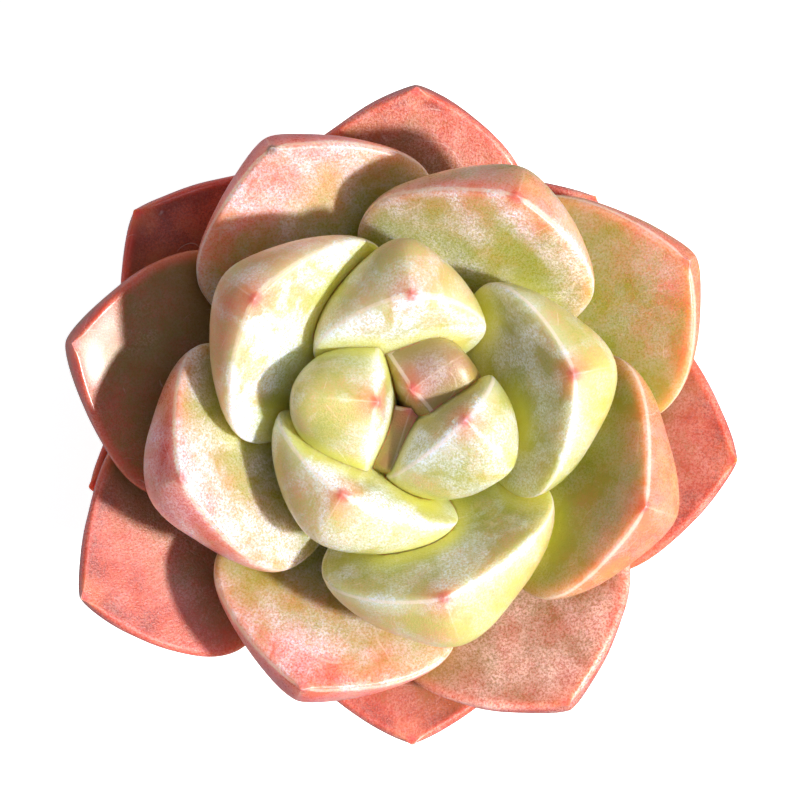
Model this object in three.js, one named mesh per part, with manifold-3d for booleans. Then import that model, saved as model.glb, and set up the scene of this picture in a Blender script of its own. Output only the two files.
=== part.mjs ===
import * as THREE from "three";
import { mergeVertices } from "three/addons/utils/BufferGeometryUtils.js";
import Module from "manifold-3d";

// A potted echeveria, in millimetres with +Z up. The origin is on the ground, under the middle of
// the pot. A short stem stands in the soil and carries 24 thick leaves in a spiral rosette.

const GAP = 0.3; // between neighbouring pieces

const YOUNG_LEAF_COLOR = 0xc9cf8a;
const OLD_LEAF_COLOR = 0xd9776a;
const STEM_COLOR = 0x9a8a5c;
const SOIL_COLOR = 0x4a3a2c;
const POT_COLOR = 0xb5654a;

// The plain clay pot: a tapered wall with a thicker band at its rim and a drain hole in its base.
const POT_HEIGHT = 52;
const RIM_RADIUS = 31;
const RIM_BAND = 11;
const RIM_STEP = 1.8;
const FOOT_RADIUS = 21;
const POT_WALL = 3;
const POT_BASE = 4;
const DRAIN_RADIUS = 4;
const EDGE = 0.8; // chamfer of the pot's edges and the stem's foot
const POT_SIDES = 48;

// The soil: a plug that fills the pot up to a little below its rim.
const SOIL_TOP = 48;
const SOIL_CROWN = 1.2; // rise of the soil towards the stem
const STEM_DEPTH = 20; // of the hole that the stem stands in

// The stem: round, with a domed tip inside the rosette.
const STEM_TOP = 74;
const STEM_RADIUS = 5.6;
const DOME_HEIGHT = 9;
const STEM_SIDES = 20;
const DOME_STEPS = 6;
const ROOT_SINK = 1; // how deep inside the stem a leaf starts, before it is cut to sit on it
const LEAST_ROOT_RADIUS = 0.3;

// One row a leaf, each about 137.5 degrees round from the one numbered before it. The rows are in
// the order that the leaves are fitted in: a leaf gives way to those above it. That is from the
// bud outwards, but in the closed bud leaves 4 to 6 keep their form and 3 to 1 fill what is left.
// turn: direction round the stem, in degrees. drop: height of its root below the stem's top.
// lift: angle of its root above level. curl: how much it turns up from root to tip, in degrees.
// swell: bulge of the upper face, or hollow where negative. side: sideways set of the tip.
// lop: how much wider it is on its anticlockwise side, as a share of the width.
// cup: how far its two edges turn up, like a cupped hand.
const LEAVES = [
  // number, turn, drop, length, width, thick, lift, curl, swell, side, lop, cup
  [4, 315, 1.3, 19.0, 16.5, 8.2, 76, 10, 3.0, 4.2, 0, 0.8],
  [5, 97, 1.9, 22.5, 19.8, 8.0, 47, 28, 3.6, -2.2, 0.07, 2.2],
  [6, 238, 2.5, 20.2, 24.0, 7.2, 49, 32, 2.4, -1.4, 0, 2.2],
  [3, 175, 0.8, 17.6, 15.0, 9.4, 62, 42, 2.6, -1.2, 0, 0.3],
  [2, 37, 0.4, 13.8, 19.0, 6.8, 57, 54, 3.0, 2.0, 0, 0.5],
  [1, 252, 0.0, 10.2, 14.0, 7.5, 80, 32, 0.8, 0.2, 0, 0],
  [7, 12, 3.1, 26.5, 25.0, 7.6, 40, 26, 1.8, 0.6, 0, 2.8],
  [8, 145, 3.8, 28.5, 27.0, 7.2, 38, 26, 1.6, -0.9, 0, 2.4],
  [9, 287.5, 4.5, 27.0, 28.0, 8.9, 38, 26, 1.4, -2.2, 0, 1.6],
  [10, 69, 5.2, 31.5, 28.0, 7.5, 30, 24, 0.8, -2.7, 0, 0],
  [11, 200, 5.9, 30.5, 28.0, 8.5, 31, 24, 0.8, -2.0, -0.08, 0],
  [12, 341, 6.6, 32.0, 29.5, 8.5, 27, 26, 0.6, -1.0, 0, 0],
  [13, 117, 7.3, 33.8, 30.0, 7.0, 19, 18, 0.2, 0, 0, 0],
  [14, 249, 8.0, 32.9, 30.0, 7.5, 17, 20, 0.2, 0, 0, 0],
  [15, 31, 8.7, 35.6, 29.5, 7.5, 15, 18, -0.4, -1.6, 0, 0],
  [16, 168, 9.4, 37.9, 29.5, 7.5, 14, 17, -0.4, 0, 0.05, 0],
  [17, 299, 10.1, 36.4, 30.0, 7.5, 11, 17, -0.4, 0, 0, 0],
  [18, 91, 10.8, 35.4, 30.0, 7.0, 9, 17, -0.6, -1.8, 0.06, 0],
  [19, 203, 11.5, 40.7, 31.0, 7.0, 7, 18, -0.6, 5.0, 0.05, 0],
  [20, 352, 12.2, 35.9, 31.0, 7.0, 5, 16, -0.6, 0, 0, 0],
  [21, 137, 12.9, 36.4, 31.0, 7.0, 3, 16, -0.6, 4.4, 0, 0],
  [22, 271, 13.6, 35.4, 30.5, 7.0, 1, 16, -0.6, 0, 0, 0],
  [23, 49, 14.3, 30.4, 28.0, 7.0, -1, 16, -0.6, 0, 0, 0],
  [24, 193, 15.0, 34.9, 27.0, 7.0, -2, 16, -0.6, 0, 0, 0],
];

// The form that all leaves share. Places along a leaf are shares of its length, from root to tip.
const WIDEST_AT = 0.62;
const ROOT_WIDTH = 0.24; // share of the greatest width
const ROOT_THICKNESS = 0.38; // share of the greatest thickness
const THICKEST_AT = 0.8;
const END_CAP = 0.13; // the blunt end, rounded off like a quarter of an ellipse
const SHOULDER_POWER = 1.35; // how late the sides spread from the root
const TIP_POWER = 0.9; // under 1 rounds the very tip
const LEVEL_OUTLINE = 1.65; // how much the sides of a level leaf bow out towards the tip
const STEEP_OUTLINE = 2.15; // the same for a leaf that lifts by STEEP_LIFT or more
const STEEP_LIFT = 45;
const ROUND_SECTION = 2.2; // power of the under face's curve: 2 is half an ellipse
const KEELED_SECTION = 1.5; // towards the tip of a level leaf, which has a keel
const NO_KEEL_LIFT = 60;
const SWELL_POWER = 0.7;
const GROWN_EDGE_POWER = 16; // keeps a grown leaf's two edges closed

const BODY_BANDS = 5;
const CAP_BANDS = 4;
const FACE_STEPS = 10; // across the upper face, and again across the under face

const { degToRad, lerp } = THREE.MathUtils;

function stemRadius(drop) {
  const rise = Math.max(0, 1 - drop / DOME_HEIGHT);
  return STEM_RADIUS * Math.sqrt(1 - rise * rise);
}

// A leaf's width from a narrow root to a pointed tip, as a share of its greatest width.
function widthShare(along, lift) {
  if (along < WIDEST_AT) {
    const spread = Math.sin(((along / WIDEST_AT) * Math.PI) / 2) ** SHOULDER_POWER;
    return lerp(ROOT_WIDTH, 1, spread);
  }
  const outline = lerp(LEVEL_OUTLINE, STEEP_OUTLINE, Math.min(1, Math.max(0, lift / STEEP_LIFT)));
  const toTip = (along - WIDEST_AT) / (1 - WIDEST_AT);
  return (1 - toTip ** outline) ** TIP_POWER;
}

function thicknessShare(along) {
  const grown = Math.sin((Math.min(along / THICKEST_AT, 1) * Math.PI) / 2);
  const intoCap = Math.max(0, along - (1 - END_CAP)) / END_CAP;
  return lerp(ROOT_THICKNESS, 1, grown) * Math.sqrt(1 - intoCap ** 2);
}

// The middle line of the upper face: an arc that runs outwards and turns up from the root.
function spineAt({ length, lift, curl }, along, grow) {
  const turn = degToRad(curl) * along;
  const arc = (length + grow) * along;
  const chord = turn === 0 ? arc : (arc * Math.sin(turn / 2)) / (turn / 2);
  const slope = degToRad(lift) + turn / 2;
  return { out: chord * Math.cos(slope), up: chord * Math.sin(slope), angle: degToRad(lift) + turn };
}

// One cross section of a leaf: over its upper face from the anticlockwise edge to the clockwise
// one, then back under it. It can be grown all round, to cut a neighbour clear of it.
function leafSection(leaf, along, grow) {
  const spine = spineAt(leaf, along, grow);
  const edgeWidth = widthShare(along, leaf.lift);
  const halfWidth = (leaf.width / 2) * edgeWidth + grow;
  const thickness = leaf.thick * thicknessShare(along) + grow;
  const levelness = Math.min(1, Math.max(0, 1 - leaf.lift / NO_KEEL_LIFT));
  const section = lerp(ROUND_SECTION, KEELED_SECTION, along * levelness);
  const swell = leaf.swell * Math.sin(Math.PI * along) ** SWELL_POWER;
  const points = [];
  for (let i = 0; i < 2 * FACE_STEPS; i++) {
    const across = Math.cos((i / FACE_STEPS) * Math.PI);
    const upper = swell * (1 - across ** 2) + grow * (1 - across ** GROWN_EDGE_POWER);
    const under = -thickness * Math.sqrt(1 - Math.abs(across) ** section);
    const height = (i < FACE_STEPS ? upper : under) + leaf.cup * (across * edgeWidth) ** 2;
    points.push([
      leaf.root + spine.out - height * Math.sin(spine.angle),
      halfWidth * across * (1 + leaf.lop * Math.sign(across)) + leaf.side * along ** 2,
      STEM_TOP - leaf.drop + spine.up + height * Math.cos(spine.angle),
    ]);
  }
  return points;
}

// A leaf's closed surface: a fan over its root, a band between each two sections, and the tip.
function leafGeometry(leaf, grow) {
  const places = [];
  for (let i = 0; i <= BODY_BANDS; i++) {
    places.push(((1 - END_CAP) * i) / BODY_BANDS);
  }
  for (let i = 1; i < CAP_BANDS; i++) {
    places.push(1 - END_CAP + END_CAP * Math.sin(((i / CAP_BANDS) * Math.PI) / 2));
  }
  const points = places.flatMap((along) => leafSection(leaf, along, grow));
  const tip = spineAt(leaf, 1, grow);
  points.push([leaf.root + tip.out, leaf.side, STEM_TOP - leaf.drop + tip.up]);

  const count = 2 * FACE_STEPS;
  const triangles = [];
  for (let i = 1; i < count - 1; i++) {
    triangles.push(0, i + 1, i);
  }
  for (let band = 1; band < places.length; band++) {
    for (let i = 0; i < count; i++) {
      const outer = band * count + i;
      const outerNext = band * count + ((i + 1) % count);
      triangles.push(outer - count, outerNext, outer);
      triangles.push(outer - count, outerNext - count, outerNext);
    }
  }
  const last = (places.length - 1) * count;
  for (let i = 0; i < count; i++) {
    triangles.push(last + i, last + ((i + 1) % count), points.length - 1);
  }

  const geometry = new THREE.BufferGeometry();
  geometry.setAttribute("position", new THREE.Float32BufferAttribute(points.flat(), 3));
  geometry.setIndex(triangles);
  geometry.rotateZ(degToRad(leaf.turn));
  return geometry;
}

// A solid of revolution about the pot's axis, from the radii and heights of its outline.
function turned(outline, sides) {
  const profile = outline.map(([radius, height]) => new THREE.Vector2(radius, height));
  return new THREE.LatheGeometry(profile, sides).rotateX(Math.PI / 2);
}

// The stem, from its chamfered foot in the soil to its dome. It can be grown all round.
function stemGeometry(grow) {
  const foot = SOIL_TOP - STEM_DEPTH + GAP - grow;
  const outline = [
    [0, foot],
    [STEM_RADIUS - EDGE + grow, foot],
    [STEM_RADIUS + grow, foot + EDGE],
  ];
  for (let i = 0; i < DOME_STEPS; i++) {
    const angle = ((i / DOME_STEPS) * Math.PI) / 2;
    outline.push([
      (STEM_RADIUS + grow) * Math.cos(angle),
      STEM_TOP - DOME_HEIGHT + (DOME_HEIGHT + grow) * Math.sin(angle),
    ]);
  }
  outline.push([0, STEM_TOP + grow]);
  return turned(outline, STEM_SIDES);
}

// The outside radius of the tapered wall at a height.
function potRadius(height) {
  return FOOT_RADIUS + ((RIM_RADIUS - RIM_STEP - FOOT_RADIUS) * height) / POT_HEIGHT;
}

function potGeometry() {
  const band = POT_HEIGHT - RIM_BAND; // height of the band's lower edge
  const inner = (height) => potRadius(height) - POT_WALL;
  return turned([
    [DRAIN_RADIUS, 0],
    [FOOT_RADIUS - EDGE, 0],
    [potRadius(EDGE), EDGE],
    [potRadius(band), band],
    [RIM_RADIUS - 2 * EDGE, band],
    [RIM_RADIUS - EDGE, band + EDGE],
    [RIM_RADIUS, POT_HEIGHT - EDGE],
    [RIM_RADIUS - EDGE, POT_HEIGHT],
    [inner(POT_HEIGHT) + EDGE, POT_HEIGHT],
    [inner(POT_HEIGHT - EDGE), POT_HEIGHT - EDGE],
    [inner(POT_BASE), POT_BASE],
    [DRAIN_RADIUS, POT_BASE],
    [DRAIN_RADIUS, 0],
  ], POT_SIDES);
}

function soilGeometry() {
  const side = (height) => potRadius(height) - POT_WALL - GAP;
  const hole = STEM_RADIUS + GAP;
  return turned([
    [0, POT_BASE + GAP],
    [side(POT_BASE + GAP), POT_BASE + GAP],
    [side(SOIL_TOP), SOIL_TOP],
    [(side(SOIL_TOP) + hole) / 2, SOIL_TOP + SOIL_CROWN],
    [hole, SOIL_TOP + SOIL_CROWN],
    [hole, SOIL_TOP - STEM_DEPTH],
    [0, SOIL_TOP - STEM_DEPTH],
  ], POT_SIDES);
}

const wasm = await Module();
wasm.setup();

function toSolid(geometry) {
  const bare = geometry.clone();
  bare.deleteAttribute("normal");
  bare.deleteAttribute("uv");
  const merged = mergeVertices(bare);
  const vertProperties = merged.attributes.position.array;
  const triVerts = Uint32Array.from(merged.index.array);
  return new wasm.Manifold(new wasm.Mesh({ numProp: 3, vertProperties, triVerts }));
}

function toGeometry(solid) {
  const { vertProperties, triVerts } = solid.getMesh();
  const geometry = new THREE.BufferGeometry();
  geometry.setAttribute("position", new THREE.Float32BufferAttribute(vertProperties, 3));
  geometry.setIndex(Array.from(triVerts));
  geometry.computeVertexNormals();
  return geometry;
}

// Cutting can leave a scrap beside the leaf: only the largest piece is kept.
function largestPiece(solid) {
  return solid.decompose().sort((a, b) => b.volume() - a.volume())[0];
}

const leaves = LEAVES.map(([number, turn, drop, length, width, thick, lift, curl, ...form]) => {
  const [swell, side, lop, cup] = form;
  const root = Math.max(LEAST_ROOT_RADIUS, stemRadius(drop) - ROOT_SINK);
  return { number, turn, drop, length, width, thick, lift, curl, swell, side, lop, cup, root };
});

function addPiece(group, name, geometry, color, roughness) {
  const material = new THREE.MeshStandardMaterial({ color, roughness, metalness: 0 });
  const mesh = new THREE.Mesh(geometry, material);
  mesh.name = name;
  group.add(mesh);
}

// Each leaf is cut to sit on the stem, and to clear the leaves that are fitted before it.
const rosette = new THREE.Group();
let taken = toSolid(stemGeometry(GAP));
for (const leaf of leaves) {
  const seated = largestPiece(toSolid(leafGeometry(leaf, 0)).subtract(taken));
  const age = (leaf.number - 1) / (leaves.length - 1);
  const color = new THREE.Color(YOUNG_LEAF_COLOR).lerp(new THREE.Color(OLD_LEAF_COLOR), age);
  addPiece(rosette, `leaf_${String(leaf.number).padStart(2, "0")}`, toGeometry(seated), color, 0.5);
  taken = taken.add(toSolid(leafGeometry(leaf, GAP)));
}

const pottedPlant = new THREE.Group();
addPiece(pottedPlant, "pot", potGeometry(), POT_COLOR, 0.85);
addPiece(pottedPlant, "soil", soilGeometry(), SOIL_COLOR, 1);
addPiece(pottedPlant, "stem", stemGeometry(0), STEM_COLOR, 0.8);
pottedPlant.add(rosette);
export default pottedPlant;
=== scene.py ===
# A small rosette succulent in its clay pot, seen from straight above.
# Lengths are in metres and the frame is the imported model's: +Z up, pot foot at z 0.
import math
from collections import namedtuple

import bmesh
import bpy
import numpy as np
from mathutils import Matrix, Vector, noise
from mathutils.bvhtree import BVHTree


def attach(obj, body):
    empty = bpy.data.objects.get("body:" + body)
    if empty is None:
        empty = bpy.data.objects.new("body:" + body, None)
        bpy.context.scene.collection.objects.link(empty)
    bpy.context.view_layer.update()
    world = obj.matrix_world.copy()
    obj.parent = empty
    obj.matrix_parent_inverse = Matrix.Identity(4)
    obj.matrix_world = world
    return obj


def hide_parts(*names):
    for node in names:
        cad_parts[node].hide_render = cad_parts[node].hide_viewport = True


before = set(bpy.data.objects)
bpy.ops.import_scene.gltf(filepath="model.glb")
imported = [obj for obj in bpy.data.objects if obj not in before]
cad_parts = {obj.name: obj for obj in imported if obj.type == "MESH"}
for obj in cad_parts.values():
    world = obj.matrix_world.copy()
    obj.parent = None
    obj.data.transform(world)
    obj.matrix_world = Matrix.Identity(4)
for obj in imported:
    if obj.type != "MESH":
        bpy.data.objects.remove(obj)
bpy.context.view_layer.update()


# The pot: a plain small nursery pot of red earthenware, pressed in a spinning mould
# and fired without glaze. It has a rim band to lift it by and a hole in the foot
# that drains it. It stands on the floor and carries everything else.
POT_HEIGHT = 0.052
RIM_RADIUS = 0.031
RIM_BAND = 0.011
RIM_STEP = 0.0018
BAND_CHAMFER = 0.0006
FOOT_RADIUS = 0.021
POT_WALL = 0.003
POT_BASE = 0.004
DRAIN_RADIUS = 0.004
CORNER_ROUNDING = 0.0009
CORNER_STEPS = 4
CORNER_SHARE = 0.45
POT_STEPS_ROUND = 144
CLAY_STEP = 0.0009
TURNING_LINE = 0.0021
TURNING_DEPTH = 0.00005
TURNING_DRIFT = 0.4
CLAY_LUMP = 0.012
CLAY_UNEVENNESS = 0.00014
UNEVEN_FROM = 0.6 * FOOT_RADIUS


def pot_radius(height):
    """The radius of the pot's outer wall at a height, leaving out the rim band."""
    taper = (RIM_RADIUS - RIM_STEP - FOOT_RADIUS) / POT_HEIGHT
    return FOOT_RADIUS + taper * height


def rounded_section(corners, rounding):
    """A closed cross-section with every corner turned into a short arc."""
    path = []
    count = len(corners)
    for i in range(count):
        before = Vector(corners[i - 1])
        corner = Vector(corners[i])
        after = Vector(corners[(i + 1) % count])
        back = before - corner
        on = after - corner
        reach = min(rounding, back.length * CORNER_SHARE, on.length * CORNER_SHARE)
        start = corner + back.normalized() * reach
        end = corner + on.normalized() * reach
        for step in range(CORNER_STEPS + 1):
            t = step / CORNER_STEPS
            path.append(start.lerp(corner, t).lerp(corner.lerp(end, t), t))
    return path


def stepped_section(path, step):
    """The same cross-section with points no further apart than one step."""
    points = []
    for i in range(len(path)):
        start = path[i]
        end = path[(i + 1) % len(path)]
        pieces = max(1, math.ceil((end - start).length / step))
        points += [start.lerp(end, j / pieces) for j in range(pieces)]
    return points


def turned_mesh(name, section, steps, surface):
    """A closed cross-section turned about the pot's axis; surface() places each point."""
    points = []
    for radius, height in section:
        for j in range(steps):
            angle = j / steps * math.tau
            points.append(surface(radius, height, angle))
    faces = []
    rows = len(section)
    for i in range(rows):
        row = i * steps
        above = (i + 1) % rows * steps
        for j in range(steps):
            beside = (j + 1) % steps
            faces.append((row + j, row + beside, above + beside, above + j))
    mesh = bpy.data.meshes.new(name)
    mesh.from_pydata(points, [], faces)
    mesh.update()
    mesh.shade_smooth()
    return mesh


def placed(name, mesh, material, nodes):
    """A finished piece, fixed to the plant's one body in place of its CAD nodes."""
    piece = bpy.data.objects.new(name, mesh)
    bpy.context.scene.collection.objects.link(piece)
    mesh.materials.append(material)
    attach(piece, "root")
    if nodes:
        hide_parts(*nodes)
    return piece


def colour(code):
    """An sRGB hex colour as the linear values that the shader takes."""
    shades = [int(code[i:i + 2], 16) / 255 for i in (1, 3, 5)]
    linear = [s / 12.92 if s <= 0.04045 else ((s + 0.055) / 1.055) ** 2.4 for s in shades]
    return (*linear, 1.0)


def add_node(tree, kind, values):
    """A node with its settings, input values and links: a socket given as a value is linked."""
    node = tree.nodes.new(kind)
    for name, value in values.items():
        if isinstance(value, bpy.types.NodeSocket):
            tree.links.new(value, node.inputs[name])
        elif isinstance(name, str) and hasattr(node, name):
            setattr(node, name, value)
        else:
            node.inputs[name].default_value = value
    return node


def new_material(name):
    """A new material and its node tree, with no nodes yet."""
    material = bpy.data.materials.new(name)
    material.use_nodes = True
    material.node_tree.nodes.clear()
    return material, material.node_tree


def clay_point(radius, height, angle):
    """A point of the pot, with faint turning lines and a slight unevenness in its walls."""
    x = radius * math.cos(angle)
    y = radius * math.sin(angle)
    line = math.sin(height / TURNING_LINE * math.tau + TURNING_DRIFT * math.sin(angle))
    lump = noise.noise(Vector((x, y, height)) / CLAY_LUMP)
    shift = TURNING_DEPTH * line - CLAY_UNEVENNESS * abs(lump)
    grown = (radius + shift) / radius if radius > UNEVEN_FROM else 1
    return (x * grown, y * grown, height)


band_foot = POT_HEIGHT - RIM_BAND
pot_corners = [
    (DRAIN_RADIUS, 0),
    (FOOT_RADIUS, 0),
    (pot_radius(band_foot - BAND_CHAMFER), band_foot - BAND_CHAMFER),
    (RIM_RADIUS, band_foot),
    (RIM_RADIUS, POT_HEIGHT),
    (pot_radius(POT_HEIGHT) - POT_WALL, POT_HEIGHT),
    (pot_radius(POT_BASE) - POT_WALL, POT_BASE),
    (DRAIN_RADIUS, POT_BASE),
]
pot_section = stepped_section(rounded_section(pot_corners, CORNER_ROUNDING), CLAY_STEP)
pot_mesh = turned_mesh("clay_pot", pot_section, POT_STEPS_ROUND, clay_point)

# Unglazed earthenware: dry, matt and porous, redder where it fired hotter, with pale
# lime where water has dried through the wall and fine sand in the body.
FIRING_PATCH = 0.011
SAND_GRAIN = 0.00045
LIME_PATCH = 0.006
DAMP_TOP = 0.034
DAMP_FOOT = 0.006
terracotta, tree = new_material("unglazed_earthenware")
place = add_node(tree, "ShaderNodeTexCoord", {}).outputs["Object"]
firing = add_node(tree, "ShaderNodeTexNoise", {
    "Vector": place, "Scale": 1 / FIRING_PATCH, "Detail": 5.0, "Roughness": 0.6})
body = add_node(tree, "ShaderNodeMix", {
    "data_type": "RGBA", 0: firing.outputs[0], 6: colour("#A24F31"), 7: colour("#C97B55")})
sand = add_node(tree, "ShaderNodeTexNoise", {
    "Vector": place, "Scale": 1 / SAND_GRAIN, "Detail": 3.0, "Roughness": 0.7})
sand_share = add_node(tree, "ShaderNodeMapRange", {
    "Value": sand.outputs[0], "From Min": 0.35, "From Max": 0.75, "To Max": 0.35})
sandy = add_node(tree, "ShaderNodeMix", {
    "data_type": "RGBA", 0: sand_share.outputs[0], 6: body.outputs[2], 7: colour("#D9956C")})
height = add_node(tree, "ShaderNodeSeparateXYZ", {0: place}).outputs[2]
damp_band = add_node(tree, "ShaderNodeMapRange", {
    "Value": height, "From Min": DAMP_TOP, "From Max": DAMP_FOOT, "To Max": 0.22})
lime_cloud = add_node(tree, "ShaderNodeTexNoise", {
    "Vector": place, "Scale": 1 / LIME_PATCH, "Detail": 7.0, "Roughness": 0.72})
lime_sum = add_node(tree, "ShaderNodeMath", {
    "operation": "ADD", 0: lime_cloud.outputs[0], 1: damp_band.outputs[0]})
lime_share = add_node(tree, "ShaderNodeMapRange", {
    "Value": lime_sum.outputs[0], "From Min": 0.56, "From Max": 0.86, "To Max": 0.6})
limed = add_node(tree, "ShaderNodeMix", {
    "data_type": "RGBA", 0: lime_share.outputs[0], 6: sandy.outputs[2], 7: colour("#E3CDB9")})
sand_bump = add_node(tree, "ShaderNodeBump", {
    "Height": sand.outputs[0], "Strength": 0.5, "Distance": 0.00012})
clay_shader = add_node(tree, "ShaderNodeBsdfPrincipled", {
    "Base Color": limed.outputs[2], "Roughness": 0.86, "IOR": 1.5,
    "Normal": sand_bump.outputs[0]})
add_node(tree, "ShaderNodeOutputMaterial", {"Surface": clay_shader.outputs[0]})

placed("clay_pot", pot_mesh, terracotta, ["pot"])


# The potting mix: peat and composted bark, poured round the roots and settled, with
# crushed pumice in it for drainage. It fills the pot to just under the rim, crowned
# towards the stem, and the loose bits on top lie half sunk in it.
SOIL_TOP = 0.048
SOIL_CROWN = 0.0012
SOIL_GAP = 0.0003
STEM_HOLE = 0.0059
STEM_FOOT = 0.028
ROOT_CHANNEL = 0.0008
SOIL_STEP = 0.0011
SOIL_STEPS_ROUND = 120
CRUMB = 0.0016
CRUMB_HEIGHT = 0.00035
CRUMB_SINK = 0.0003
TOP_LAYER = 0.0004
BIT_COUNT = 190
BIT_LUMPINESS = 0.32
BIT_LUMP = 1.7
BIT_LONG = 1.25
BIT_BROAD = 0.85
BIT_TILT = 0.5
BIT_STANDING = 0.2


def soil_height(radius):
    """The height of the mix, before its crumbs, at a distance from the stem's axis."""
    edge = pot_radius(SOIL_TOP) - POT_WALL - SOIL_GAP
    return SOIL_TOP + SOIL_CROWN * (1 - (radius / edge) ** 2)


def soil_point(radius, height, angle):
    """A point of the mix: crumbly on top, smooth where the pot holds it."""
    x = radius * math.cos(angle)
    y = radius * math.sin(angle)
    if height < SOIL_TOP - TOP_LAYER:
        return (x, y, height)
    crumb = noise.fractal(Vector((x, y, 0)) / CRUMB, 0.8, 2.1, 3)
    return (x, y, soil_height(radius) + CRUMB_HEIGHT * crumb - CRUMB_SINK)


# A narrow channel under the stem, where the main root was, closes the turned section.
soil_foot = POT_BASE + SOIL_GAP
soil_corners = [
    (DRAIN_RADIUS, soil_foot),
    (pot_radius(POT_BASE) - POT_WALL - SOIL_GAP, soil_foot),
    (pot_radius(SOIL_TOP) - POT_WALL - SOIL_GAP, SOIL_TOP),
    (STEM_HOLE, SOIL_TOP),
    (STEM_HOLE, STEM_FOOT),
    (ROOT_CHANNEL, STEM_FOOT),
    (ROOT_CHANNEL, soil_foot),
]
soil_section = stepped_section([Vector(corner) for corner in soil_corners], SOIL_STEP)
soil_mesh = turned_mesh("potting_mix", soil_section, SOIL_STEPS_ROUND, soil_point)


def strewn_bits(name, smallest, largest, flatness, seed):
    """Loose bits strewn on the mix, as one mesh: lumpy grains, each turned its own way."""
    chance = np.random.default_rng(seed)
    ball = bmesh.new()
    bmesh.ops.create_icosphere(ball, subdivisions=2, radius=1)
    grain = np.array([vertex.co for vertex in ball.verts])
    grain_faces = np.array([[vertex.index for vertex in face.verts] for face in ball.faces])
    ball.free()
    points = []
    faces = []
    edge = pot_radius(SOIL_TOP) - POT_WALL - largest
    for i in range(BIT_COUNT):
        size = chance.uniform(smallest, largest) / 2
        away = math.sqrt(chance.uniform((STEM_HOLE + largest) ** 2, edge ** 2))
        angle = chance.uniform(0, math.tau)
        own_lumps = Vector((i, 0, seed))
        lumps = np.array([noise.noise(Vector(point) * BIT_LUMP + own_lumps) for point in grain])
        form = np.array([BIT_LONG, BIT_BROAD, flatness]) * size
        shape = grain * (1 + BIT_LUMPINESS * lumps)[:, None] * form
        turn = chance.uniform(0, math.tau)
        tilt = chance.uniform(-BIT_TILT, BIT_TILT)
        pose = Matrix.Rotation(turn, 3, "Z") @ Matrix.Rotation(tilt, 3, "Y")
        height = soil_height(away) + size * BIT_STANDING
        centre = [away * math.cos(angle), away * math.sin(angle), height]
        faces.append(grain_faces + i * len(grain))
        points.append(shape @ np.array(pose).T + centre)
    mesh = bpy.data.meshes.new(name)
    mesh.from_pydata(np.concatenate(points).tolist(), [], np.concatenate(faces).tolist())
    mesh.update()
    mesh.shade_smooth()
    return mesh


# Damp peat and bark: dark brown, dull, with fibres and crumbs that catch a little light.
FIBRE = 0.0011
peat, tree = new_material("composted_bark_and_peat")
place = add_node(tree, "ShaderNodeTexCoord", {}).outputs["Object"]
crumbs = add_node(tree, "ShaderNodeTexVoronoi", {"Vector": place, "Scale": 1 / FIBRE})
crumb_share = add_node(tree, "ShaderNodeMapRange", {
    "Value": crumbs.outputs["Distance"], "From Max": 0.9})
dark_mix = add_node(tree, "ShaderNodeMix", {
    "data_type": "RGBA", 0: crumb_share.outputs[0], 6: colour("#5A4030"), 7: colour("#2A1C14")})
fibres = add_node(tree, "ShaderNodeTexNoise", {
    "Vector": place, "Scale": 2 / FIBRE, "Detail": 4.0, "Distortion": 1.5})
fibre_share = add_node(tree, "ShaderNodeMapRange", {
    "Value": fibres.outputs[0], "From Min": 0.55, "From Max": 0.8, "To Max": 0.5})
fibrous = add_node(tree, "ShaderNodeMix", {
    "data_type": "RGBA", 0: fibre_share.outputs[0], 6: dark_mix.outputs[2], 7: colour("#8A6A4A")})
crumb_bump = add_node(tree, "ShaderNodeBump", {
    "Height": fibres.outputs[0], "Strength": 0.8, "Distance": 0.0004})
peat_shader = add_node(tree, "ShaderNodeBsdfPrincipled", {
    "Base Color": fibrous.outputs[2], "Roughness": 0.92, "IOR": 1.45,
    "Normal": crumb_bump.outputs[0]})
add_node(tree, "ShaderNodeOutputMaterial", {"Surface": peat_shader.outputs[0]})

# Crushed pumice: pale, chalky volcanic glass foam, with pits that show as darker dots.
PUMICE_PIT = 0.0004
pumice, tree = new_material("crushed_pumice")
place = add_node(tree, "ShaderNodeTexCoord", {}).outputs["Object"]
pits = add_node(tree, "ShaderNodeTexVoronoi", {"Vector": place, "Scale": 1 / PUMICE_PIT})
pit_share = add_node(tree, "ShaderNodeMapRange", {
    "Value": pits.outputs["Distance"], "From Min": 0.1, "From Max": 0.6})
pitted = add_node(tree, "ShaderNodeMix", {
    "data_type": "RGBA", 0: pit_share.outputs[0], 6: colour("#8F8270"), 7: colour("#D8CCB8")})
pit_bump = add_node(tree, "ShaderNodeBump", {
    "Height": pits.outputs["Distance"], "Strength": 0.6, "Distance": 0.0002})
pumice_shader = add_node(tree, "ShaderNodeBsdfPrincipled", {
    "Base Color": pitted.outputs[2], "Roughness": 0.9, "IOR": 1.5,
    "Normal": pit_bump.outputs[0]})
add_node(tree, "ShaderNodeOutputMaterial", {"Surface": pumice_shader.outputs[0]})

placed("potting_mix", soil_mesh, peat, ["soil"])
PUMICE_SIZES = (0.0009, 0.0024)
PUMICE_FLATNESS = 0.8
PUMICE_SEED = 7
pumice_mesh = strewn_bits("pumice_grit", *PUMICE_SIZES, PUMICE_FLATNESS, PUMICE_SEED)
placed("pumice_grit", pumice_mesh, pumice, [])
BARK_SIZES = (0.0012, 0.003)
BARK_FLATNESS = 0.3
BARK_SEED = 11
bark_mesh = strewn_bits("bark_chips", *BARK_SIZES, BARK_FLATNESS, BARK_SEED)
placed("bark_chips", bark_mesh, peat, [])


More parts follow.
